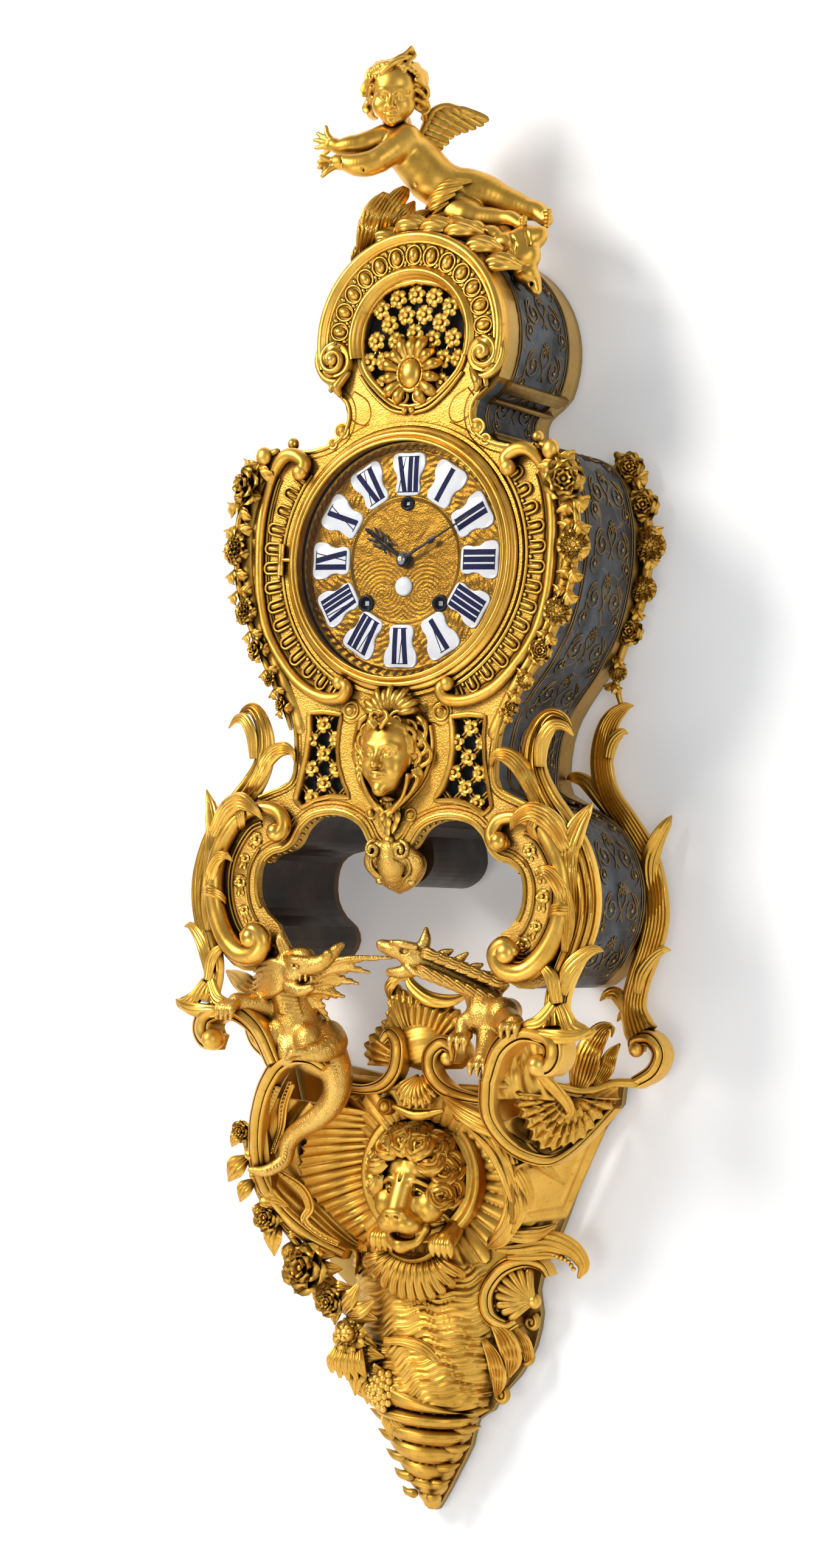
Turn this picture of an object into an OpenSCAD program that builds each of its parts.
// Cartel clock on a wall bracket, built as separate pieces with working joints.
// Millimetres, Z up, front towards -Y. The origin is on the wall, straight behind the dial centre.

/* [Case] */
// Depth from the wall to the face of the front plate
case_d = 139; // [130:1:160]
// Thickness of the gilt front plate
plate_t = 6; // [4:0.5:8]
// Thickness of the oak carcass wall
wall_t = 9; // [6:0.5:12]
// Thickness of the marquetry veneer
veneer_t = 2; // [1:0.25:3]
// Thickness of the back board
back_t = 8; // [5:0.5:10]
// Half width of the body at its widest
belly_w = 169; // [162:1:176]
// Half width of the waist
waist_w = 103; // [98:1:108]
// Half width of the neck under the hood
neck_w = 64; // [60:1:70]
// Radius of the hood arch
arch_r = 95; // [92:1:98]
// Height of the hood arch centre above the dial centre
arch_z = 194; // [190:1:200]
// Half width of the feet
foot_w = 194; // [188:1:200]
// Depth of the gilt band at the front of the hood sides
band_f = 18; // [10:1:30]
// Depth of the gilt band along the back edge
band_r = 24; // [16:1:30]
// Radius of the hanging hole
hook_r = 4.5; // [3:0.5:6]
// Height of the hanging hole above the dial centre
hook_z = 215; // [180:1:240]

/* [Dial] */
// Radius of the dial plate
dial_r = 105; // [103:0.5:107]
// Thickness of the dial plate
dial_t = 3; // [2:0.5:4]
// How far the dial face lies behind the front plate face
dial_in = 4; // [3:0.5:5]
// Radius to the middle of the numeral plaques
plaque_r = 75.6; // [74:0.1:78]
// Thickness of the enamel plaques
enamel_t = 2.2; // [1.5:0.1:2.6]
// Radius of the blank name plaque
name_r = 8.5; // [6:0.5:10]
// Clear radius inside the bezel lip
bezel_in = 103.5; // [102:0.5:105]
// Outer radius of the bezel
bezel_out = 117; // [115:0.5:118]
// Height of the bezel
bezel_h = 12; // [11:0.5:14]
// Thickness of the glass
glass_t = 2; // [1.5:0.25:2.5]
// Length of the hour hand
hour_len = 46; // [38:1:52]
// Length of the minute hand
minute_len = 84; // [70:1:92]
// Time shown by the hands, hours
hour_set = 10; // [0:1:11]
// Time shown by the hands, minutes
minute_set = 10; // [0:1:59]

/* [Movement] */
// Half width of the square movement plates
mov_w = 60; // [56:1:66]
// Thickness of the movement plates
mov_t = 3; // [2:0.5:4]
// Clear distance between the movement plates
mov_gap = 47; // [46:1:52]
// Space between the dial and the movement front plate
motion_gap = 14; // [13:0.5:16]
// Distance of the winding arbors left and right of the centre
wind_x = 37.7; // [37:0.1:39]
// Distance of the winding arbors below the centre
wind_z = 38; // [37:0.5:40]
// Height of the regulator arbor above the centre
reg_z = 50; // [49:0.5:51]
// Radial clearance of pivots in their holes
fit = 0.05; // [0.02:0.01:0.09]
// Length of the pendulum from its pin to the bob centre
pend_len = 150; // [140:1:160]
// Radius of the pendulum bob
bob_r = 19; // [15:1:24]

/* [Bracket] */
// Thickness of the bracket back plate
wall_plate_t = 8; // [6:0.5:10]
// Depth of the apron at its top edge
apron_d = 78; // [70:1:90]
// Radius of the two wall screw holes
screw_r = 2.5; // [2:0.25:3.5]
// Radius of the ring round the lion mask
lion_r = 54; // [48:1:58]

/* [Hidden] */
$fn = 48;
front_y = -case_d;
plate_y = plate_t - case_d;
dial_y = dial_in - case_d;
dial_back_y = dial_y + dial_t;
mov_y = dial_back_y + motion_gap;
mov_in_y = mov_y + mov_t;
mov_out_y = mov_in_y + mov_gap;
mov_back_y = mov_out_y + mov_t;
mov_top = 58;
mov_low = -62;
seat_t = 8;
fret_t = 3;
waist_x = 103;
foot_x = 194;
belly_x = 169;
hole_r = bezel_out - 3;
flange_r = bezel_out + 5;
flange_h = 3;
lift = 0.3;
seat_r = bezel_in + 1.5;
lip_h = 2.3;
hinge_x = -(flange_r + 0.5);
hinge_y = front_y - flange_h - 4;
knuckle_r = 3;
knuckle_h = 9;
pin_r = 1.2;
arbor_r = 1.8;
slim_r = 1.35;
pivot_r = 1.2;
tube_r = 3;
pipe_r = 4.2;
wind_r = 3;
reg_r = 2.2;
going_at = [wind_x, -wind_z];
strike_at = [-wind_x, -wind_z];
minute_angle = 90 - minute_set * 6;
hour_angle = 90 - hour_set * 30 - minute_set / 2;
hour_y = dial_y - enamel_t - 1.2;
hour_t = 1.2;
minute_y = hour_y - hour_t - 1.6;
minute_t = 1;
nut_h = 2.4;
drum_r = 27;
drum_h = 28;
great_n = 80;
great_m = 0.85;
second_pn = 10;
second_n = 64;
second_m = 0.7;
centre_pn = 8;
centre_n = 72;
centre_m = 0.6;
third_pn = 8;
third_n = 66;
third_m = 0.5;
escape_pn = 8;
escape_at = [0, 30];
escape_r = 8.6;
pallet_at = [0, 43];
cannon_n = 12;
minute_n = 36;
minute_m = 0.75;
minute_pn = 10;
hour_n = 40;
hour_m = 0.72;
motion_at = [-(cannon_n + minute_n) * minute_m / 2, 0];
second_at = meet([0, 0], (second_n + centre_pn) * second_m / 2, going_at,
    (great_n + second_pn) * great_m / 2, 1);
third_at = meet([0, 0], (centre_n + third_pn) * centre_m / 2, escape_at,
    (third_n + escape_pn) * third_m / 2, 1);
great_y = mov_out_y - 8;
second_y = mov_out_y - 4;
centre_y = mov_out_y - 22;
third_y = mov_out_y - 16;
escape_y = mov_out_y - 30;
cannon_y = mov_y - 1;
wheel_t = 1.5;
pin_z = 55;
rod_y = mov_back_y + 16;
crutch_y = mov_back_y + 6;
gilt = [0.83, 0.62, 0.2];
dark_gilt = [0.62, 0.43, 0.14];
brass = [0.8, 0.66, 0.36];
steel = [0.3, 0.32, 0.4];

// Point part of the way from a to b
function mix(a, b, t) = a + (b - a) * t;
// Points along an arc about c
function arc(r, a0, a1, n, c) = [for (i = [0:n]) c + r * [cos(mix(a0, a1, i / n)), sin(mix(a0, a1,
    i / n))]];
// Smooth curve through points with n steps between neighbours
function smooth(p, n) = concat([for (i = [0:len(p) - 2], k = [0:n - 1])
    let (a = p[max(i - 1, 0)], b = p[i], c = p[i + 1], d = p[min(i + 2, len(p) - 1)], t = k / n)
    (b * 2 + (c - a) * t + (a * 2 - b * 5 + c * 4 - d) * t * t + (b * 3 - a - c * 3 + d) * t * t * t) / 2],
    [p[len(p) - 1]]);
// Points followed by their mirror images, in order round the shape
function both(p) = concat(p, [for (i = [len(p) - 1:-1:0]) [-p[i].x, p[i].y]]);
// Where circles about a and b cross, on side s
function meet(a, ra, b, rb, s) = let (d = norm(b - a), u = (b - a) / d,
    x = (ra * ra - rb * rb + d * d) / (2 * d), h = sqrt(ra * ra - x * x)) a + u * x + s * h * [-u.y, u.x];
// Direction from a to b in degrees
function way(a, b) = atan2(b.y - a.y, b.x - a.x);
// Tooth outline of a wheel with n teeth of module m
function teeth(n, m) = let (p = 360 / n, across = [-0.23, -0.06, 0.06, 0.23],
    out = [-1.25, 0.75, 0.75, -1.25]) [for (i = [0:n - 1], k = [0:3])
    (n / 2 + out[k]) * m * [cos((i + across[k]) * p), sin((i + across[k]) * p)]];
// Half-width at a share t of the way from waist to foot
function leg(t) = mix(waist_w, foot_w, t);
// Limb points drawn between waist_x and foot_x, moved to the set widths
function spread(p) = [for (q = p) [leg((q[0] - waist_x) / (foot_x - waist_x)), q[1], q[2], q[3]]];
// Half-width at a share t of the way from neck to belly
function shoulder(t) = mix(neck_w, belly_w, t);

hood_side = arc(arch_r, 90, -22, 16, [0, arch_z]);
body_side = smooth([hood_side[16], [neck_w + 15, arch_z - 45], [neck_w + 3, arch_z - 55],
    [neck_w, 126], [shoulder(0.06), 111], [shoulder(0.23), 102], [shoulder(0.42), 99],
    [shoulder(0.59), 100], [shoulder(0.78), 90], [shoulder(0.91), 70], [belly_w - 1, 38],
    [belly_w, 8], [belly_w - 4, -24],
    [belly_w - 11, -52], [mix(waist_w, belly_w, 0.62), -82], [mix(waist_w, belly_w, 0.35), -108],
    [mix(waist_w, belly_w, 0.14), -130], [waist_w + 2, -152], [waist_w, -178], [waist_w + 4, -197],
    [leg(0.32), -208], [leg(0.64), -221], [leg(0.87), -245], [foot_w, -280], [leg(0.97), -315],
    [leg(0.8), -345], [leg(0.6), -364], [leg(0.35), -368], [leg(0.13), -355], [leg(0.045), -339],
    [leg(0.1), -325], [leg(0.23), -316], [leg(0.33), -302], [leg(0.35), -284], [leg(0.31), -269],
    [leg(0.2), -261], [leg(0.08), -258], [waist_w - 2, -251], [waist_w * 0.91, -238],
    [waist_w * 0.79, -228], [waist_w * 0.61, -224], [waist_w * 0.44, -226], [waist_w * 0.29, -234],
    [waist_w * 0.19, -249], [10, -256], [0, -257]], 2);

// Extrudes a drawing of the front view from depth y towards the viewer
module front(y, t) {
    translate([0, y, 0]) rotate([90, 0, 0]) linear_extrude(height = t) children();
}

// Turns a half section of radius and height about the dial axis, from depth y towards the viewer
module turned(y, p) {
    translate([0, y, 0]) rotate([90, 0, 0]) rotate_extrude($fn = 96) polygon(p);
}

// Rod along the depth, from depth y towards the viewer
module rod(at, y, r, h) {
    translate([at.x, y, at.y]) rotate([90, 0, 0]) cylinder(r = r, h = h);
}

// Round limbs through points given as [x, y, z, radius]
module limbs(p, sides) {
    for (i = [0:len(p) - 2])
        hull() {
            translate([p[i][0], p[i][1], p[i][2]]) sphere(r = p[i][3], $fn = sides);
            translate([p[i + 1][0], p[i + 1][1], p[i + 1][2]]) sphere(r = p[i + 1][3], $fn = sides);
        }
}

// Five-petalled flower facing the viewer at p, radius p[3]
module flower(p) {
    for (i = [0:4])
        limbs([[p[0], p[1] - p[3] * 0.3, p[2], p[3] * 0.34],
            [p[0] + p[3] * 0.66 * sin(72 * i), p[1], p[2] + p[3] * 0.66 * cos(72 * i), p[3] * 0.34]], 4);
}

// Places children that are measured from the front plate face
module at_front() {
    translate([0, front_y, 0]) children();
}

module outline() {
    polygon(both(concat(hood_side, body_side)));
}

module inner_outline() {
    offset(delta = -veneer_t) outline();
}

module cavity() {
    intersection() {
        offset(delta = -veneer_t - wall_t) outline();
        translate([-2 * foot_w, -205]) square([4 * foot_w, 3 * foot_w]);
    }
}

// Outline skin that the veneer and the gilt bands are cut from
module skin() {
    difference() {
        outline();
        inner_outline();
        translate([-leg(0.5), -420]) square([2 * leg(0.5), 214]);
    }
}

module above_neck() {
    translate([-2 * arch_r, arch_z - 40]) square([4 * arch_r, 4 * arch_r]);
}

// Solid case used to cut mounts so that they sit flush on it
module case_block() {
    front(0, case_d) outline();
}

module hood_opening() {
    polygon(both(smooth([[0, 245], [28, 239], [47, 220], [53, 196], [48, 170], [30, 150], [14, 139],
        [0, 136]], 3)));
}

module low_opening() {
    polygon(smooth([[57, -138], [59, -149], [60, -165], [58, -181], [52, -197], [45, -209],
        [63, -208], [80, -212], [93, -219], [99, -213], [95, -196], [90, -174], [88, -154],
        [89, -137], [74, -136], [57, -138]], 2));
}

// Outline of a lower fret, grown by g where it sits in the carcass
module fret_blank(g) {
    intersection() {
        offset(delta = 3 + g) low_opening();
        offset(delta = g - 4) inner_outline();
    }
}

module carcass() {
    color([0.09, 0.08, 0.08]) {
        difference() {
            front(-back_t, case_d - plate_t - back_t) difference() {
                inner_outline();
                cavity();
            }
            for (s = [0, 1])
                mirror([s, 0, 0]) front(plate_y + fret_t + lift, 10) fret_blank(0.3);
        }
        front(-back_t, case_d - back_t - 34)
            polygon(both(smooth([[22, -240], [26, -262], [20, -276], [9, -284], [0, -286]], 3)));
    }
}

module veneer() {
    color([0.2, 0.22, 0.27]) {
        front(-band_r, case_d - plate_t - band_r) difference() {
            skin();
            above_neck();
        }
        front(-band_r, case_d - plate_t - band_f - band_r) intersection() {
            skin();
            above_neck();
        }
    }
}

module side_bands() {
    color(gilt) {
        front(0, band_r) skin();
        front(plate_y + band_f, band_f) intersection() {
            skin();
            above_neck();
        }
    }
}

module back_board() {
    color([0.32, 0.22, 0.13]) difference() {
        front(0, back_t) inner_outline();
        rod([0, hook_z], 1, hook_r, back_t + 2);
    }
}

module front_plate() {
    color(gilt) {
        difference() {
            front(plate_y, plate_t) outline();
            rod([0, 0], plate_y + 1, hole_r, plate_t + 2);
            front(plate_y + 1, plate_t + 2) hood_opening();
            for (s = [0, 1])
                mirror([s, 0, 0]) front(plate_y + 1, plate_t + 2) low_opening();
        }
        turned(front_y, [[bezel_out + 1, 0], [flange_r, 0], [flange_r - 1, flange_h],
            [bezel_out + 1, flange_h]]);
        for (s = [-1, 1], b = [[46, -133.5, 5], [20, -223.5, 4], [69, 115, 4]])
            translate([s * b.x, front_y, b.y]) sphere(r = b.z);
    }
}

module hood_rim() {
    p = [[53, 0], [arch_r, 0], [arch_r, 9], [arch_r - 3, 11], [arch_r - 9, 11], [arch_r - 11, 7],
        [64, 7], [62, 10], [58, 10], [56, 5]];
    color(gilt) {
        translate([0, front_y, arch_z]) rotate([90, 0, 0]) rotate([0, 0, -8])
            rotate_extrude(angle = 196, $fn = 96) polygon(p);
        for (i = [0:13])
            translate([74 * cos(i * 12 + 12), front_y - 6,
                arch_z + 74 * sin(i * 12 + 12)]) sphere(r = 5.9);
        for (s = [-1, 1]) {
            rod([s * 75, arch_z - 15], front_y, 17, 10);
            translate([s * 75, front_y - 9, arch_z - 15]) sphere(r = 8);
        }
    }
}

module hood_fret() {
    color(dark_gilt) front(plate_y + 3, 3) difference() {
        offset(delta = 3) hood_opening();
        intersection() {
            offset(delta = -1.5) hood_opening();
            for (i = [-4:4], j = [-5:5])
                translate([i * 15 + (j % 2 == 0 ? 0 : 7.5), arch_z + j * 13]) circle(r = 4.6, $fn = 24);
        }
    }
}

module hood_shell() {
    egg = [0, plate_y - 3, 164];
    color(gilt) difference() {
        union() {
            limbs([[0, egg.y, egg.z - 4, 8.5], [0, egg.y, egg.z + 4, 8.5]], 8);
            for (a = [-60:30:240])
                limbs([[8 * cos(a), egg.y + 1, egg.z + 10 * sin(a), 3.4],
                    [25 * cos(a), egg.y - 1, egg.z + 27 * sin(a), 5.5]], 5);
        }
        translate([-60, plate_y, 100]) cube([120, 20, 120]);
        front(plate_y + 1, plate_t + 1) difference() {
            outline();
            offset(delta = -lift) hood_opening();
        }
    }
}

module lower_frets() {
    color(dark_gilt) for (s = [0, 1])
        mirror([s, 0, 0]) front(plate_y + fret_t, fret_t) difference() {
            fret_blank(0);
            intersection() {
                offset(delta = -1.5) low_opening();
                for (i = [0:5], j = [0:7])
                    if ((i + j) % 2 == 1)
                        translate([75 + (i - 2.5) * 13, -175 + (j - 3.5) * 13]) rotate(45) square(12,
                            center = true);
            }
        }
}

cheek = [[105, -7, 78, 6.3], [103, -7, 87, 6.3], [114, -7, 94, 6.3], [126, -6, 92, 5.8],
    [138, -3, 77, 4.7], [145, -2, 56, 4.2], [149, -2, 30, 4.2], [149, -2, -2, 4.2],
    [146, -2, -33, 4.2], [137, -2, -64, 4.2], [120, -2, -90, 4.2], [99, -2, -111, 4.7],
    [75, -3, -122, 5.3], [54, -5, -122, 5.8], [48, -6, -113, 5.8], [56, -6, -108, 4.7]];

module cheek_mounts() {
    color(gilt) difference() {
        for (s = [0, 1])
            mirror([s, 0, 0]) at_front() {
                front(0, 1.2) polygon(concat(arc(flange_r - 1, 36, -62, 16, [0, 0]),
                    [for (i = [12:-1:4]) [cheek[i][0], cheek[i][2]]]));
                limbs(cheek, 6);
                front(0, 3) polygon(concat(arc(flange_r + 3, -62, 36, 16, [0, 0]),
                    [for (i = [0:64]) let (a = 36 - i * 98 / 64, w = 13 - abs(i - 32) * 0.12)
                        (flange_r + w - (i % 4 == 0 ? 4 : 0)) * [cos(a), sin(a)]]));
            }
        case_block();
        rod([0, 0], front_y + 1, flange_r + lift, 40);
        translate([hinge_x - 9, hinge_y - 9, -2 * knuckle_h]) cube([18, 20, 4 * knuckle_h]);
    }
}

module mask() {
    color(gilt) difference() {
        at_front() {
            limbs([[0, -2, -160, 20], [0, -4, -178, 18], [0, -4, -193, 13], [0, -4, -202, 7]], 7);
            limbs([[0, -16, -176, 5], [0, -19, -186, 4]], 6);
            for (s = [-1, 1]) {
                limbs([[s * 6, -3, -146, 9], [s * 24, -2, -153, 9], [s * 31, -1, -172, 8],
                    [s * 25, -1, -188, 6], [s * 18, -1, -200, 5], [s * 8, -2, -214, 5]], 5);
                for (i = [0.5:1:3.5])
                    limbs([[s * i * 2, -3, -140, 4], [s * i * 8, -6, -120 - i * i, 5]], 5);
            }
            limbs([[0, -3, -214, 6], [0, -3, -228, 6], [0, -2, -240, 4], [0, -3, -247, 5]], 6);
        }
        case_block();
        rod([0, 0], front_y + 1, flange_r, 40);
    }
}

module pendant_drop() {
    color(gilt) difference() {
        at_front() {
            hull() for (s = [-1, 1]) {
                translate([s * 21, 16, -264]) sphere(r = 8, $fn = 10);
                translate([s * 12, 4, -256]) sphere(r = 7, $fn = 10);
                translate([s * 12, 22, -277]) sphere(r = 7, $fn = 10);
                translate([0, 25, -286]) sphere(r = 6, $fn = 10);
            }
            for (s = [-1, 1]) {
                limbs([[s * 12, 0, -251, 6], [s * 16, 6, -257, 6], [s * 22, 10, -266, 7],
                    [s * 15, 16, -278, 5]], 6);
                limbs([[s * 13, 16, -280, 4.5], [s * 14, 12, -286, 3.5]], 6);
            }
        }
        case_block();
        translate([-40, front_y + 34, -300]) cube([80, 40, 80]);
    }
}

foot_line = [[119, -7, -245, 4.7], [111, -8, -246, 6.3], [106, -7, -237, 6.8], [113, -7, -225, 6.3],
    [131, -7, -222, 6.2], [151, -7, -229, 6.7], [165, -7, -245, 7.7], [175, -7, -266, 8.3],
    [178, -7, -289, 8.2], [174, -7, -315, 8.8], [162, -8, -339, 9.3], [145, -9, -353, 9.3],
    [127, -11, -352, 9.4], [120, -13, -339, 8.3], [129, -15, -331, 6.7], [137, -15, -336, 4.7]];

// C-scroll of a foot, s = 1 right, -1 left
module foot_scroll(s) {
    color(gilt) difference() {
        mirror([s < 0 ? 1 : 0, 0, 0]) at_front() limbs(spread(foot_line), 6);
        case_block();
    }
}

module foot_scroll_left() {
    foot_scroll(-1);
}

module foot_scroll_right() {
    foot_scroll(1);
}

// Leaf mount of a front leg, s = 1 right, -1 left
module front_leg(s) {
    color(gilt) difference() {
        mirror([s < 0 ? 1 : 0, 0, 0]) at_front() {
            limbs(spread([[169, 7, -137, 3.2], [153, 9, -133, 5], [136, 11, -142, 6],
                [127, 11, -160, 6], [134, 11, -181, 6.5], [148, 9, -204, 7.2], [170, 7, -224, 8],
                [190, 7, -248, 7.5], [200, 7, -275, 7], [203, 7, -302, 7], [197, 6, -327, 7],
                [184, 4, -350, 7.2], [176, 1, -368, 7.5], [178, -2, -385, 7], [182, -5, -393, 6],
                [174, -9, -398, 5]]), 5);
            limbs(spread([[101, -2, -173, 3.3], [115, 3, -174, 4.4], [130, 7, -186, 5.5],
                [142, 8, -199, 4.4]]), 5);
            limbs(spread([[193, 9, -214, 2.2], [184, 8, -221, 4.3], [172, 7, -228, 5]]), 5);
            limbs(spread([[212, 3, -333, 2.2], [200, 5, -336, 4.4], [186, 5, -348, 5]]), 5);
        }
        case_block();
        foot_scroll(s);
        mirror([s < 0 ? 1 : 0, 0, 0]) at_front() limbs(volute, 6);
    }
}

module front_leg_left() {
    front_leg(-1);
}

module front_leg_right() {
    front_leg(1);
}

// Leaf mount of a rear leg against the wall, s = 1 right, -1 left
module rear_leg(s) {
    color(gilt) difference() {
        mirror([s < 0 ? 1 : 0, 0, 0]) {
            limbs(spread([[163, -8, -121, 3.2], [148, -10, -124, 5], [137, -10, -142, 5.5],
                [135, -10, -167, 6], [143, -10, -194, 7], [165, -10, -217, 7.5],
                [187, -10, -243, 7.5], [198, -10, -272, 7], [203, -10, -304, 7], [196, -10, -331, 7],
                [185, -10, -359, 7.5], [181, -10, -385, 7.5], [185, -10, -393, 7]]), 5);
            limbs(spread([[209, -8, -218, 2.7], [200, -8, -227, 4.8], [194, -9, -246, 4.8]]), 5);
            limbs(spread([[108, -9, -186, 3], [124, -9, -188, 4], [143, -10, -204, 5]]), 5);
        }
        case_block();
    }
}

module rear_leg_left() {
    rear_leg(-1);
}

module rear_leg_right() {
    rear_leg(1);
}

// Flower garland down a front edge, s = 1 right, -1 left
module front_garland(s) {
    color(gilt) difference() {
        mirror([s < 0 ? 1 : 0, 0, 0]) at_front() translate([belly_w - belly_x, 0, 0]) {
            limbs([[135, -4, 98, 4.5], [147, -5, 92, 6], [164, -5, 66, 7], [177, -4, 36, 6],
                [177, -5, 8, 7], [172, -4, -22, 6], [162, -5, -46, 6], [150, -4, -70, 5],
                [141, -4, -86, 5], [128, -3, -111, 4.5], [114, -2, -134, 4], [107, -2, -150, 3]], 5);
            flower([164, -9, 65, 14]);
            flower([178, -9, 8, 17]);
            flower([163, -9, -46, 13]);
        }
        case_block();
        cheek_mounts();
    }
}

module front_garland_left() {
    front_garland(-1);
}

module front_garland_right() {
    front_garland(1);
}

// Flower garland down a rear edge, s = 1 right, -1 left
module rear_garland(s) {
    color(gilt) difference() {
        mirror([s < 0 ? 1 : 0, 0, 0]) translate([belly_w - belly_x, 0, 0]) {
            limbs([[139, -10, 106, 5], [157, -10, 80, 6], [170, -10, 56, 7], [176, -10, 33, 9],
                [176, -10, 4, 8], [170, -10, -29, 8.5], [158, -10, -60, 6], [149, -10, -92, 5],
                [155, -10, -120, 3]], 5);
            flower([152, -9, 96, 8.5]);
            limbs([[135, -10, -96, 4], [150, -10, -96, 5]], 5);
        }
        case_block();
        rear_leg(s);
    }
}

module rear_garland_left() {
    rear_garland(-1);
}

module rear_garland_right() {
    rear_garland(1);
}

// Cloud limbs before they are cut to the hood
module cloud_shape() {
    at_front() translate([0, 0, arch_z + arch_r - 289]) {
        limbs([[-52, 10, 277, 6], [-42, 7, 292, 9], [-41, 9, 315, 6.6], [-38, 11, 329, 2.7]], 6);
        limbs([[-33, 15, 296, 10], [-32, 17, 316, 6.6], [-28, 21, 339, 3.3]], 6);
        limbs([[-22, 21, 298, 9], [-22, 27, 315, 4.4]], 6);
        limbs([[-42, 20, 290, 11], [-8, 27, 297, 9], [18, 31, 294, 11], [45, 33, 286, 12],
            [62, 35, 282, 12], [79, 39, 275, 13], [89, 41, 259, 11], [96, 41, 245, 7]], 6);
        limbs([[78, 41, 280, 10], [92, 47, 288, 6.5], [99, 49, 293, 4.9], [97, 47, 277, 5]], 6);
        limbs([[-36, 30, 289, 11], [-30, 50, 288, 12], [10, 60, 293, 12], [50, 60, 282, 11],
            [70, 44, 278, 10]], 6);
    }
}

module cloud_base() {
    color(gilt) difference() {
        cloud_shape();
        case_block();
    }
}

module cupid() {
    color(gilt) difference() {
        at_front() translate([0, 0, arch_z + arch_r - 289]) {
            limbs([[-38, 21, 387, 8], [-36, 26, 374, 15], [-25, 35, 362, 18.5], [-13, 43, 347, 19.5],
                [2, 51, 333, 20]], 6);
            limbs([[-38, 21, 384, 8], [-41, 13, 404, 13.5], [-42, 17, 424, 20]], 7);
            limbs([[-41, 13, 441, 7], [-34, 15, 448, 5], [-31, 17, 454, 2.8]], 5);
            limbs([[-54, 12, 438, 6], [-62, 13, 429, 5], [-66, 15, 422, 3]], 5);
            limbs([[-27, 22, 436, 8], [-21, 27, 427, 6], [-14, 29, 422, 2.4]], 5);
            limbs([[-28, 24, 418, 7], [-20, 27, 407, 3.5]], 5);
            limbs([[-27, 17, 379, 10.5], [-34, 7, 365, 9.3], [-44, -1, 355, 8.2], [-59, -7, 351, 7.1],
                [-73, -11, 353, 5], [-82, -13, 354, 5.2], [-93, -14, 350, 1.8]], 5);
            limbs([[-82, -13, 354, 4], [-92, -15, 357, 1.6]], 5);
            limbs([[-50, 17, 381, 9], [-61, 9, 375, 7.4], [-73, 3, 373, 7.2], [-85, -1, 370, 4.6],
                [-95, -3, 375, 5], [-106, -5, 379, 1.6]], 5);
            limbs([[-95, -3, 375, 4], [-97, -4, 386, 1.6]], 5);
            limbs([[-95, -3, 374, 4], [-106, -4, 371, 1.6]], 5);
            limbs([[6, 51, 338, 17], [28, 59, 335, 14.3], [47, 67, 326, 10.6], [69, 73, 319, 6.4],
                [78, 75, 318, 6], [88, 73, 307, 3.3]], 6);
            limbs([[3, 47, 321, 13], [27, 43, 312, 12], [49, 41, 304, 10], [62, 41, 305, 6.2],
                [74, 41, 303, 5.4], [85, 39, 296, 3.2]], 6);
            hull() {
                limbs([[-26, 46, 390, 5], [-23, 55, 409, 4]], 5);
                limbs([[-12, 59, 415, 3.5], [8, 67, 407, 3]], 5);
                limbs([[23, 73, 402, 2.4], [4, 62, 392, 3]], 5);
            }
            limbs([[-32, 30, 376, 10], [-24, 48, 390, 6], [-14, 55, 388, 6], [-5, 57, 380, 2.2]], 5);
            limbs([[-30, 31, 372, 9], [-46, 48, 392, 6], [-58, 60, 408, 4], [-62, 68, 398, 3],
                [-56, 74, 384, 2]], 5);
        }
        cloud_shape();
        case_block();
    }
}

module dial_plate() {
    holes = [going_at, strike_at, [0, reg_z]];
    color(gilt) difference() {
        union() {
            turned(dial_back_y, [[0, 0], [dial_r, 0], [dial_r, dial_t], [0, dial_t]]);
            for (x = [-48, 48], z = [-48, 44])
                rod([x, z], mov_y, 3, motion_gap + dial_t / 2);
        }
        rod([0, 0], dial_back_y + 1, pipe_r + 1.5, dial_t + 2);
        for (h = holes)
            rod(h, dial_back_y + 1, 6.5, dial_t + 2);
    }
}

plaque_half = smooth([[0, 19], [12, 19], [16.5, 15], [16, 6], [12.5, 0], [11.5, -6], [12.5, -12],
    [10, -18], [0, -19]], 2);

module enamel_plaques() {
    color([0.95, 0.95, 0.96]) {
        for (i = [0:11])
            front(dial_y, enamel_t) rotate(-30 * i) translate([0, plaque_r]) polygon(both(plaque_half));
        rod([0, -23], dial_y, name_r, enamel_t);
    }
}

module hour_hand() {
    color(steel) difference() {
        front(hour_y, hour_t) rotate(hour_angle) {
            circle(r = pipe_r + 2.5);
            polygon([[0, -2.2], [hour_len * 0.55, -1.2], [hour_len * 0.68, -6], [hour_len * 0.76, -3],
                [hour_len * 0.84, -8], [hour_len * 0.86, -3], [hour_len, 0], [hour_len * 0.86, 3],
                [hour_len * 0.84, 8], [hour_len * 0.76, 3], [hour_len * 0.68, 6],
                [hour_len * 0.55, 1.2], [0, 2.2]]);
        }
        rod([0, 0], hour_y + 1, pipe_r, hour_t + 2);
    }
}

module minute_hand() {
    color(steel) difference() {
        front(minute_y, minute_t) rotate(minute_angle) {
            circle(r = arbor_r + 3.5);
            polygon([[0, -2.4], [minute_len * 0.36, -1.1], [minute_len * 0.4, -3],
                [minute_len * 0.43, -1], [minute_len, -0.5], [minute_len, 0.5],
                [minute_len * 0.43, 1], [minute_len * 0.4, 3], [minute_len * 0.36, 1.1], [0, 2.4]]);
        }
        rod([0, 0], minute_y + 1, arbor_r + fit, minute_t + 2);
    }
}

module hand_nut() {
    color(brass) difference() {
        rod([0, 0], minute_y - minute_t, 4.5, nut_h);
        rod([0, 0], minute_y, arbor_r + fit, nut_h + 2);
    }
}

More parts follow.
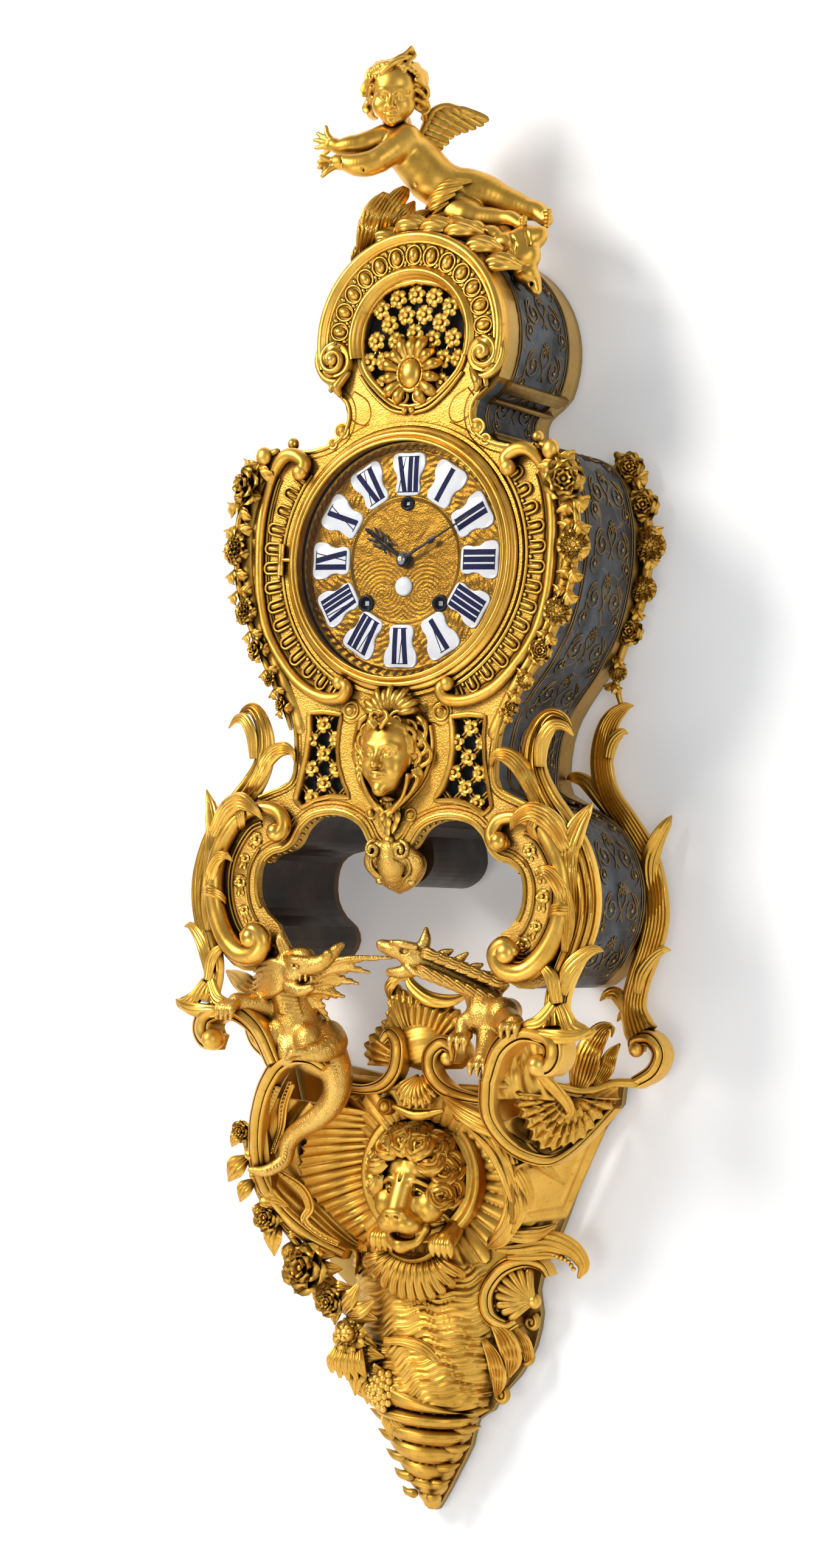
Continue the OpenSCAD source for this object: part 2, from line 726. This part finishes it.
module bezel() {
    color(gilt) {
        difference() {
            union() {
                turned(front_y - lift, [[seat_r, 0], [bezel_out, 0], [bezel_out, 4],
                    [bezel_out - 2.5, bezel_h - 4.5], [bezel_out - 6, bezel_h - 3],
                    [bezel_out - 9.5, bezel_h - 1.5], [bezel_out - 11, bezel_h],
                    [bezel_in, bezel_h], [bezel_in, bezel_h - lip_h], [seat_r, bezel_h - lip_h]]);
                translate([hinge_x, hinge_y - 2, -knuckle_h / 2])
                    cube([-hinge_x - bezel_out + 5, 4, knuckle_h]);
                translate([hinge_x, hinge_y, -knuckle_h / 2]) cylinder(r = knuckle_r, h = knuckle_h);
            }
            translate([hinge_x, hinge_y, -knuckle_h]) cylinder(r = pin_r + fit, h = 2 * knuckle_h);
        }
    }
}

module bezel_glass() {
    color([0.8, 0.88, 0.9, 0.3])
        rod([0, 0], front_y - lift - bezel_h + lip_h + glass_t, seat_r, glass_t, $fn = 96);
}

module bezel_hinge() {
    gap = 0.4;
    color(gilt) {
        for (z = [-1.5 * knuckle_h - gap, 0.5 * knuckle_h + gap]) {
            translate([hinge_x, hinge_y, z]) cylinder(r = knuckle_r, h = knuckle_h);
            translate([hinge_x - 3.6, hinge_y, z]) cube([3.6, front_y - hinge_y, knuckle_h]);
        }
        translate([hinge_x, hinge_y, -knuckle_h]) cylinder(r = pin_r, h = 2 * knuckle_h);
    }
}

// Square movement plate with pivot holes
module movement_plate(y, holes) {
    difference() {
        front(y, mov_t) translate([-mov_w, mov_low]) square([2 * mov_w, mov_top - mov_low]);
        for (h = holes)
            rod([h[0], h[1]], y + 1, h[2] + fit, mov_t + 2);
    }
}

small_pivots = [[second_at.x, second_at.y, pivot_r], [third_at.x, third_at.y, pivot_r],
    [escape_at.x, escape_at.y, pivot_r], [pallet_at.x, pallet_at.y, pivot_r]];
large_pivots = [[0, 0, arbor_r], [going_at.x, going_at.y, wind_r], [strike_at.x, strike_at.y, wind_r],
    [0, reg_z, reg_r]];

module movement_front() {
    color(brass) {
        movement_plate(mov_in_y, concat(small_pivots, large_pivots));
        rod(motion_at, mov_y + 1, 1.5, motion_gap - 2);
    }
}

module movement_back() {
    color(brass) {
        movement_plate(mov_back_y, concat(small_pivots, large_pivots));
        rod([0, pin_z], rod_y + 3, 1.5, rod_y + 3 - mov_back_y + 1);
    }
}

module pillars() {
    color(brass) for (p = [[-52, 50], [52, 50], [-54, 3], [54, 3], [0, mov_low + 5]])
        rod(p, mov_out_y, 3.5, mov_gap);
}

module seat_board() {
    color([0.4, 0.28, 0.16]) difference() {
        front(mov_back_y, mov_back_y - mov_y) intersection() {
            cavity();
            translate([-2 * belly_w, mov_low - seat_t]) square([4 * belly_w, seat_t]);
        }
        front(mov_out_y, mov_gap) translate([-wind_x - 38, mov_low - 2 * seat_t])
            square([2 * wind_x + 76, 3 * seat_t]);
    }
}

// Spring barrel with its great wheel, centred on at
module barrel(at, turn) {
    color(brass) difference() {
        union() {
            translate([at.x, 0, at.y]) front(great_y, 2.5) rotate(turn) polygon(teeth(great_n, great_m));
            rod(at, great_y - 1, drum_r, drum_h);
        }
        rod(at, great_y + 1, wind_r + fit, drum_h + 4);
    }
}

module going_barrel() {
    barrel(going_at, way(going_at, second_at));
}

module strike_barrel() {
    barrel(strike_at, 0);
}

// Winding arbor with a square end for the key
module winder(at) {
    color(steel) {
        rod(at, mov_back_y, wind_r, mov_back_y - mov_y + 3);
        front(mov_y - 1, motion_gap + dial_t - 2) translate(at) square(4, center = true);
    }
}

module going_arbor() {
    winder(going_at);
}

module strike_arbor() {
    winder(strike_at);
}

module regulator_arbor() {
    color(steel) {
        rod([0, reg_z], mov_back_y, reg_r, mov_back_y - mov_y + 3);
        front(mov_y - 1, motion_gap + dial_t - 2) translate([0, reg_z]) square(2.8, center = true);
    }
}

// Arbor between the plates with a pivot at each end
module arbor(at, r) {
    rod(at, mov_back_y, pivot_r, mov_back_y - mov_y);
    rod(at, mov_out_y - lift, r, mov_gap - 2 * lift);
}

// Toothed wheel about at with its first tooth towards turn
module wheel(at, n, m, y, t, turn) {
    translate([at.x, 0, at.y]) front(y, t) rotate(turn) polygon(teeth(n, m));
}

module second_wheel() {
    color(brass) {
        arbor(second_at, arbor_r);
        wheel(second_at, second_n, second_m, second_y, wheel_t, way(second_at, [0, 0]));
        wheel(second_at, second_pn, great_m, great_y + 0.4, 3.3, way(second_at,
            going_at) + 180 / second_pn);
    }
}

module center_wheel() {
    color(brass) {
        rod([0, 0], mov_back_y, arbor_r, mov_back_y - minute_y + minute_t + nut_h);
        wheel([0, 0], centre_n, centre_m, centre_y, wheel_t, way([0, 0], third_at));
        wheel([0, 0], centre_pn, second_m, second_y + 0.4, wheel_t + 0.8,
            way([0, 0], second_at) + 180 / centre_pn);
    }
}

module cannon_pinion() {
    color(brass) difference() {
        union() {
            wheel([0, 0], cannon_n, minute_m, cannon_y, 3, way([0, 0], motion_at) + 180 / cannon_n);
            rod([0, 0], cannon_y - 2, tube_r, cannon_y - 2 - minute_y);
        }
        rod([0, 0], cannon_y + 1, arbor_r + fit, cannon_y - minute_y + 2);
    }
}

module minute_wheel() {
    color(brass) difference() {
        union() {
            wheel(motion_at, minute_n, minute_m, cannon_y - 0.6, wheel_t, way(motion_at, [0, 0]));
            wheel(motion_at, minute_pn, hour_m, cannon_y - 1.6, 5.4,
                way(motion_at, [0, 0]) + 180 / minute_pn);
        }
        rod(motion_at, mov_y + 1, 1.5 + fit, motion_gap);
    }
}

module hour_wheel() {
    color(brass) difference() {
        union() {
            wheel([0, 0], hour_n, hour_m, cannon_y - 4.6, wheel_t, way([0, 0], motion_at));
            rod([0, 0], cannon_y - 5, pipe_r, cannon_y - 5 - hour_y + hour_t);
        }
        rod([0, 0], mov_y, tube_r + fit, mov_y - hour_y + 4);
    }
}

module third_wheel() {
    color(brass) {
        arbor(third_at, arbor_r);
        wheel(third_at, third_n, third_m, third_y, wheel_t, way(third_at, escape_at));
        wheel(third_at, third_pn, centre_m, centre_y + 0.4, wheel_t + 0.8,
            way(third_at, [0, 0]) + 180 / third_pn);
    }
}

module escape_wheel() {
    color(brass) {
        arbor(escape_at, slim_r);
        wheel(escape_at, escape_pn, third_m, third_y + 0.4, wheel_t + 0.8,
            way(escape_at, third_at) + 180 / escape_pn);
        translate([escape_at.x, 0, escape_at.y]) front(escape_y, wheel_t)
            polygon([for (i = [0:29], k = [0, 1])
                (k == 0 ? escape_r : escape_r - 2) * [cos(12 * i + 8 * k), sin(12 * i + 8 * k)]]);
    }
}

module pallets() {
    drop = pallet_at.y - escape_at.y;
    color(steel) {
        arbor(pallet_at, arbor_r);
        rod(pallet_at, crutch_y + 1, pivot_r, crutch_y + 1 - mov_back_y + 1);
        translate([pallet_at.x, 0, pallet_at.y]) front(escape_y, wheel_t) {
            polygon([[-3, 2.5], [3, 2.5], [9.5, 2 - drop / 2], [8, -drop / 2], [2, -2], [-2, -2],
                [-8, -drop / 2], [-9.5, 2 - drop / 2]]);
        }
        translate([pallet_at.x, 0, pallet_at.y]) front(crutch_y, 1.5) {
            circle(r = 3);
            translate([-1.2, -28]) square([2.4, 28]);
            translate([-5, -36]) square([10, 8]);
        }
        for (x = [-5, 3])
            translate([x, crutch_y - 1, pallet_at.y - 36]) cube([2, rod_y - crutch_y + 3, 8]);
    }
}

module pendulum() {
    color(brass) difference() {
        union() {
            rod([0, pin_z], rod_y, 4, 2);
            translate([-1.5, rod_y - 2, pin_z - pend_len]) cube([3, 2, pend_len]);
            translate([0, 0, pin_z - pend_len]) turned(rod_y + 5, [[0, 0], [bob_r, 5], [bob_r, 7],
                [0, 12]]);
        }
        rod([0, pin_z], rod_y + 1, 1.5 + fit, 4);
    }
}

// Outline of the wall plate, right side down to the tip and up the left side
wall_line = concat([[0, -470], [100, -456], [174, -447]],
    smooth([[172, -469], [156, -489], [140, -520], [129, -551], [116, -588], [104, -612], [97, -640],
        [101, -660], [96, -690], [81, -718], [63, -738], [56, -752], [41, -762], [36, -785],
        [25, -808], [14, -830], [4, -847]], 2),
    smooth([[-4, -847], [-19, -834], [-27, -818], [-34, -802], [-36, -782], [-55, -768], [-76, -746],
        [-94, -736], [-108, -717], [-104, -700], [-97, -680], [-101, -655], [-120, -640],
        [-130, -610], [-140, -580], [-150, -540], [-160, -500], [-172, -469]], 2), [[-174, -447],
        [-100, -456]]);
screw_at = [[-98, -714], [49, -747]];
ring_z = -543;

module bracket_back() {
    color(dark_gilt) difference() {
        front(0, wall_plate_t) polygon(wall_line);
        for (p = screw_at)
            rod(p, 1, screw_r, wall_plate_t + 2);
    }
}

// Apron sections as [z, half width, depth]
apron_rows = smooth([[-462, 100, apron_d], [-500, 110, apron_d * 0.77], [-545, 112, apron_d * 0.62],
    [-590, 102, apron_d * 0.62], [-620, 90, apron_d * 0.67], [-650, 80, apron_d * 0.69],
    [-690, 68, apron_d * 0.62], [-725, 46, apron_d * 0.45], [-745, 34, apron_d * 0.36]], 2);

module bracket_apron() {
    n = 12;
    rows = len(apron_rows);
    pts = [for (r = apron_rows, i = [0:n])
        [r[1] * cos(180 * i / n), -wall_plate_t - (r[2] - wall_plate_t) * pow(sin(180 * i / n), 0.7),
            r[0]]];
    sides = [for (j = [0:rows - 2], i = [0:n], k = [0, 1])
        let (a = j * (n + 1) + i, b = j * (n + 1) + (i + 1) % (n + 1))
        k == 0 ? [a, a + n + 1, b] : [a + n + 1, b + n + 1, b]];
    color(gilt)
        polyhedron(points = pts, faces = concat(sides, [[for (i = [0:n]) i]],
            [[for (i = [n:-1:0]) (rows - 1) * (n + 1) + i]]));
}

// Thin curved panel through four corners
module panel(p) {
    hull() for (q = p)
        translate(q) sphere(r = 3.5, $fn = 6);
}

// Front volute shared by both sides of the bracket, right side
volute = [[163, -13, -428, 6.5], [175, -13, -432, 8], [180, -12, -420, 9], [168, -11, -409, 10],
    [146, -11, -409, 9.5], [123, -7, -424, 9], [109, -1, -451, 8]];

// Rail from the front volute back to the wall scroll, right side
module bracket_rail() {
    limbs([[112, front_y + 11, -448, 7], [140, -80, -450, 5.5], [160, -55, -454, 5.5],
        [176, -36, -446, 5.5], [190, -16, -446, 5.5], [208, -9, -436, 7], [214, -9, -420, 7],
        [202, -9, -409, 7], [187, -9, -412, 7]], 5);
}

module bracket_scroll_left() {
    color(gilt) difference() {
        union() {
            mirror([1, 0, 0]) {
                at_front() limbs(volute, 6);
                bracket_rail();
            }
            limbs([[-109, front_y - 1, -451, 8], [-99, front_y + 6, -450, 8],
                [-118, front_y + 9, -465, 7.5], [-134, -122, -491, 7.1], [-144, -112, -519, 7.2],
                [-146, -100, -547, 7.2], [-137, -90, -572, 7.2], [-120, -80, -596, 7.2],
                [-98, -68, -611, 7.2], [-78, -58, -620, 6.1]], 5);
            panel([[-112, -130, -470], [-134, -112, -500], [-172, -12, -456], [-160, -12, -495]]);
            panel([[-136, -112, -500], [-138, -92, -570], [-158, -12, -495], [-138, -12, -572]]);
            panel([[-136, -92, -570], [-100, -66, -608], [-138, -12, -572], [-116, -12, -616]]);
        }
        bracket_apron();
        bracket_back();
    }
}

module bracket_scroll_right() {
    color(gilt) difference() {
        union() {
            at_front() limbs(volute, 6);
            bracket_rail();
            limbs([[109, front_y - 1, -451, 8], [105, front_y + 9, -478, 7.5], [107, -122, -490, 7],
                [114, -112, -506, 6], [120, -100, -530, 5.5], [118, -92, -554, 5.5],
                [107, -84, -577, 5.5], [89, -72, -595, 6], [70, -62, -601, 6.5]], 5);
            limbs([[107, -118, -488, 7], [119, -110, -501, 6], [129, -95, -514, 5],
                [139, -80, -520, 4.5], [149, -60, -508, 4.5], [161, -40, -487, 4.5],
                [171, -20, -468, 4.5]], 5);
            panel([[110, -124, -484], [138, -80, -516], [172, -14, -450], [170, -14, -468]]);
            panel([[118, -102, -524], [108, -86, -574], [158, -14, -490], [122, -14, -572]]);
            panel([[106, -84, -576], [86, -70, -596], [122, -14, -570], [104, -14, -604]]);
            limbs([[104, -16, -592, 8], [122, -15, -590, 6], [138, -13, -597, 6],
                [146, -12, -614, 5.5], [144, -12, -622, 4.5]], 5);
            limbs([[106, -18, -614, 5], [82, -24, -614, 6], [62, -30, -632, 6], [55, -34, -659, 6],
                [66, -28, -677, 6], [82, -16, -672, 6], [92, -14, -682, 6], [84, -14, -706, 5]], 5);
        }
        bracket_apron();
        bracket_back();
    }
}

module dragon_left() {
    color(gilt) difference() {
        union() {
            limbs([[-74, -120, -428, 11], [-96, -112, -418, 13], [-118, -108, -424, 16],
                [-126, -112, -403, 17], [-132, -122, -382, 13], [-116, -130, -372, 12],
                [-96, -138, -361, 14], [-80, -142, -353, 8], [-62, -138, -351, 5]], 6);
            limbs([[-100, -138, -352, 6], [-112, -138, -347, 4], [-122, -136, -344, 2]], 5);
            limbs([[-116, -124, -392, 9], [-90, -122, -372, 7], [-51, -128, -353, 5],
                [-26, -124, -350, 3], [-3, -120, -350, 2]], 5);
            limbs([[-74, -128, -366, 5], [-30, -120, -365, 2]], 5);
            limbs([[-78, -124, -372, 5], [-56, -118, -385, 2]], 5);
            limbs([[-90, -118, -382, 7], [-74, -112, -408, 4]], 5);
            limbs([[-90, -112, -425, 12], [-84, -104, -452, 11], [-81, -100, -477, 10],
                [-94, -98, -494, 9], [-114, -96, -507, 8], [-120, -96, -526, 7], [-136, -102, -543, 6]], 5);
            limbs([[-189, -100, -372, 4], [-167, -108, -376, 8], [-140, -116, -384, 10]], 5);
        }
        bracket_scroll_left();
        bracket_apron();
        case_block();
        foot_scroll(-1);
    }
}

module dragon_right() {
    color(gilt) difference() {
        union() {
            limbs([[-2, -128, -338, 4], [13, -126, -341, 8.5], [26, -122, -346, 9.5],
                [38, -116, -350, 8.5], [53, -108, -360, 7.5], [70, -100, -367, 8],
                [81, -98, -377, 11], [88, -102, -393, 14], [104, -100, -388, 10]], 6);
            limbs([[-7, -118, -363, 4], [12, -122, -352, 6]], 5);
            limbs([[20, -122, -345, 6], [24, -120, -335, 3]], 5);
            limbs([[53, -100, -352, 4], [75, -94, -357, 5], [105, -88, -374, 5]], 5);
            limbs([[80, -106, -396, 8], [72, -112, -398, 6], [78, -118, -412, 5]], 5);
            limbs([[100, -104, -392, 9], [116, -118, -404, 8], [128, -136, -402, 5]], 5);
            limbs([[92, -104, -400, 12], [100, -112, -424, 11], [106, -120, -446, 9]], 5);
        }
        bracket_scroll_right();
        bracket_apron();
        case_block();
        foot_scroll(1);
    }
}

module bracket_shell() {
    color(gilt) difference() {
        union() {
            for (t = [[-48, -434], [-42, -414], [-28, -397], [-12, -384], [6, -376], [24, -380],
                [38, -390], [44, -408]])
                limbs([[2, -64, -440, 10], [t[0], -70, t[1], 8]], 6);
            limbs([[30, -78, -424, 8], [40, -80, -436, 9], [30, -78, -450, 9], [4, -66, -462, 10]], 6);
            limbs([[-34, -72, -440, 7], [-30, -72, -458, 8], [-4, -62, -466, 9]], 6);
        }
        bracket_apron();
        dragon_right();
    }
}

module lion_mask() {
    ring_y = -apron_d * 0.62 - 2;
    color(gilt) difference() {
        union() {
            for (a = [0:24:336])
                limbs([[lion_r * cos(a), ring_y, ring_z + lion_r * sin(a), 5],
                    [lion_r * cos(a + 24), ring_y, ring_z + lion_r * sin(a + 24), 5]], 5);
            limbs([[0, ring_y - 6, ring_z + 14, 26], [0, ring_y - 18, ring_z - 4, 20],
                [0, ring_y - 32, ring_z - 16, 11]], 6);
            limbs([[0, ring_y - 14, ring_z - 28, 14], [0, ring_y - 12, ring_z - 46, 12]], 6);
            for (s = [-1, 1]) {
                limbs([[s * 14, ring_y - 6, ring_z + 36, 11], [s * 32, ring_y - 4, ring_z + 22, 12],
                    [s * 38, ring_y - 4, ring_z - 6, 12], [s * 32, ring_y - 6, ring_z - 40, 11],
                    [s * 24, ring_y - 8, ring_z - 58, 9]], 5);
                for (i = [0.5:1:2.5])
                    limbs([[s * i * 7, ring_y - 4, ring_z - 56, 5],
                        [s * i * 13, ring_y - 6, ring_z - 98 + i * i * 2, 6]], 5);
            }
        }
        bracket_apron();
    }
}

module shell_spire() {
    color(gilt) difference() {
        union() {
            limbs([[0, -22, -757, 36], [1, -18, -779, 28], [2, -15, -801, 21], [2, -13, -822, 15],
                [1, -11, -838, 9.5]], 8);
            for (k = [[-53, -768], [-33, -804], [-26, -820], [-19, -834], [36, -786], [26, -807],
                [14, -829]])
                limbs([[k[0] * 0.4, -14, k[1] + 6, 9], [k[0], -12, k[1], 3.4]], 5);
        }
        bracket_apron();
        bracket_back();
        translate([-80, -wall_plate_t, -860]) cube([160, 80, 160]);
    }
}

module bracket_garland() {
    color(gilt) difference() {
        union() {
            limbs([[-162, -100, -516, 9], [-158, -92, -548, 6], [-150, -84, -576, 8],
                [-128, -70, -606, 8], [-106, -58, -634, 13], [-78, -52, -658, 14],
                [-62, -46, -694, 15], [-70, -32, -734, 13]], 6);
            limbs([[-62, -46, -700, 12], [-40, -42, -730, 13], [-22, -36, -752, 10]], 6);
            flower([-107, -68, -636, 20]);
            flower([-62, -60, -694, 24]);
            limbs([[-106, -46, -634, 11], [-108, -12, -634, 11]], 5);
        }
        bracket_scroll_left();
        bracket_apron();
        bracket_back();
        shell_spire();
        for (p = screw_at)
            rod(p, 1, 8, 90);
    }
}

carcass();
veneer();
side_bands();
back_board();
front_plate();
hood_rim();
hood_fret();
hood_shell();
lower_frets();
cheek_mounts();
mask();
pendant_drop();
foot_scroll_left();
foot_scroll_right();
front_leg_left();
front_leg_right();
rear_leg_left();
rear_leg_right();
front_garland_left();
front_garland_right();
rear_garland_left();
rear_garland_right();
cloud_base();
cupid();
dial_plate();
enamel_plaques();
hour_hand();
minute_hand();
hand_nut();
bezel();
bezel_glass();
bezel_hinge();
movement_front();
movement_back();
pillars();
seat_board();
going_barrel();
strike_barrel();
going_arbor();
strike_arbor();
regulator_arbor();
second_wheel();
center_wheel();
cannon_pinion();
minute_wheel();
hour_wheel();
third_wheel();
escape_wheel();
pallets();
pendulum();
bracket_back();
bracket_apron();
bracket_scroll_left();
bracket_scroll_right();
dragon_left();
dragon_right();
bracket_shell();
lion_mask();
shell_spire();
bracket_garland();
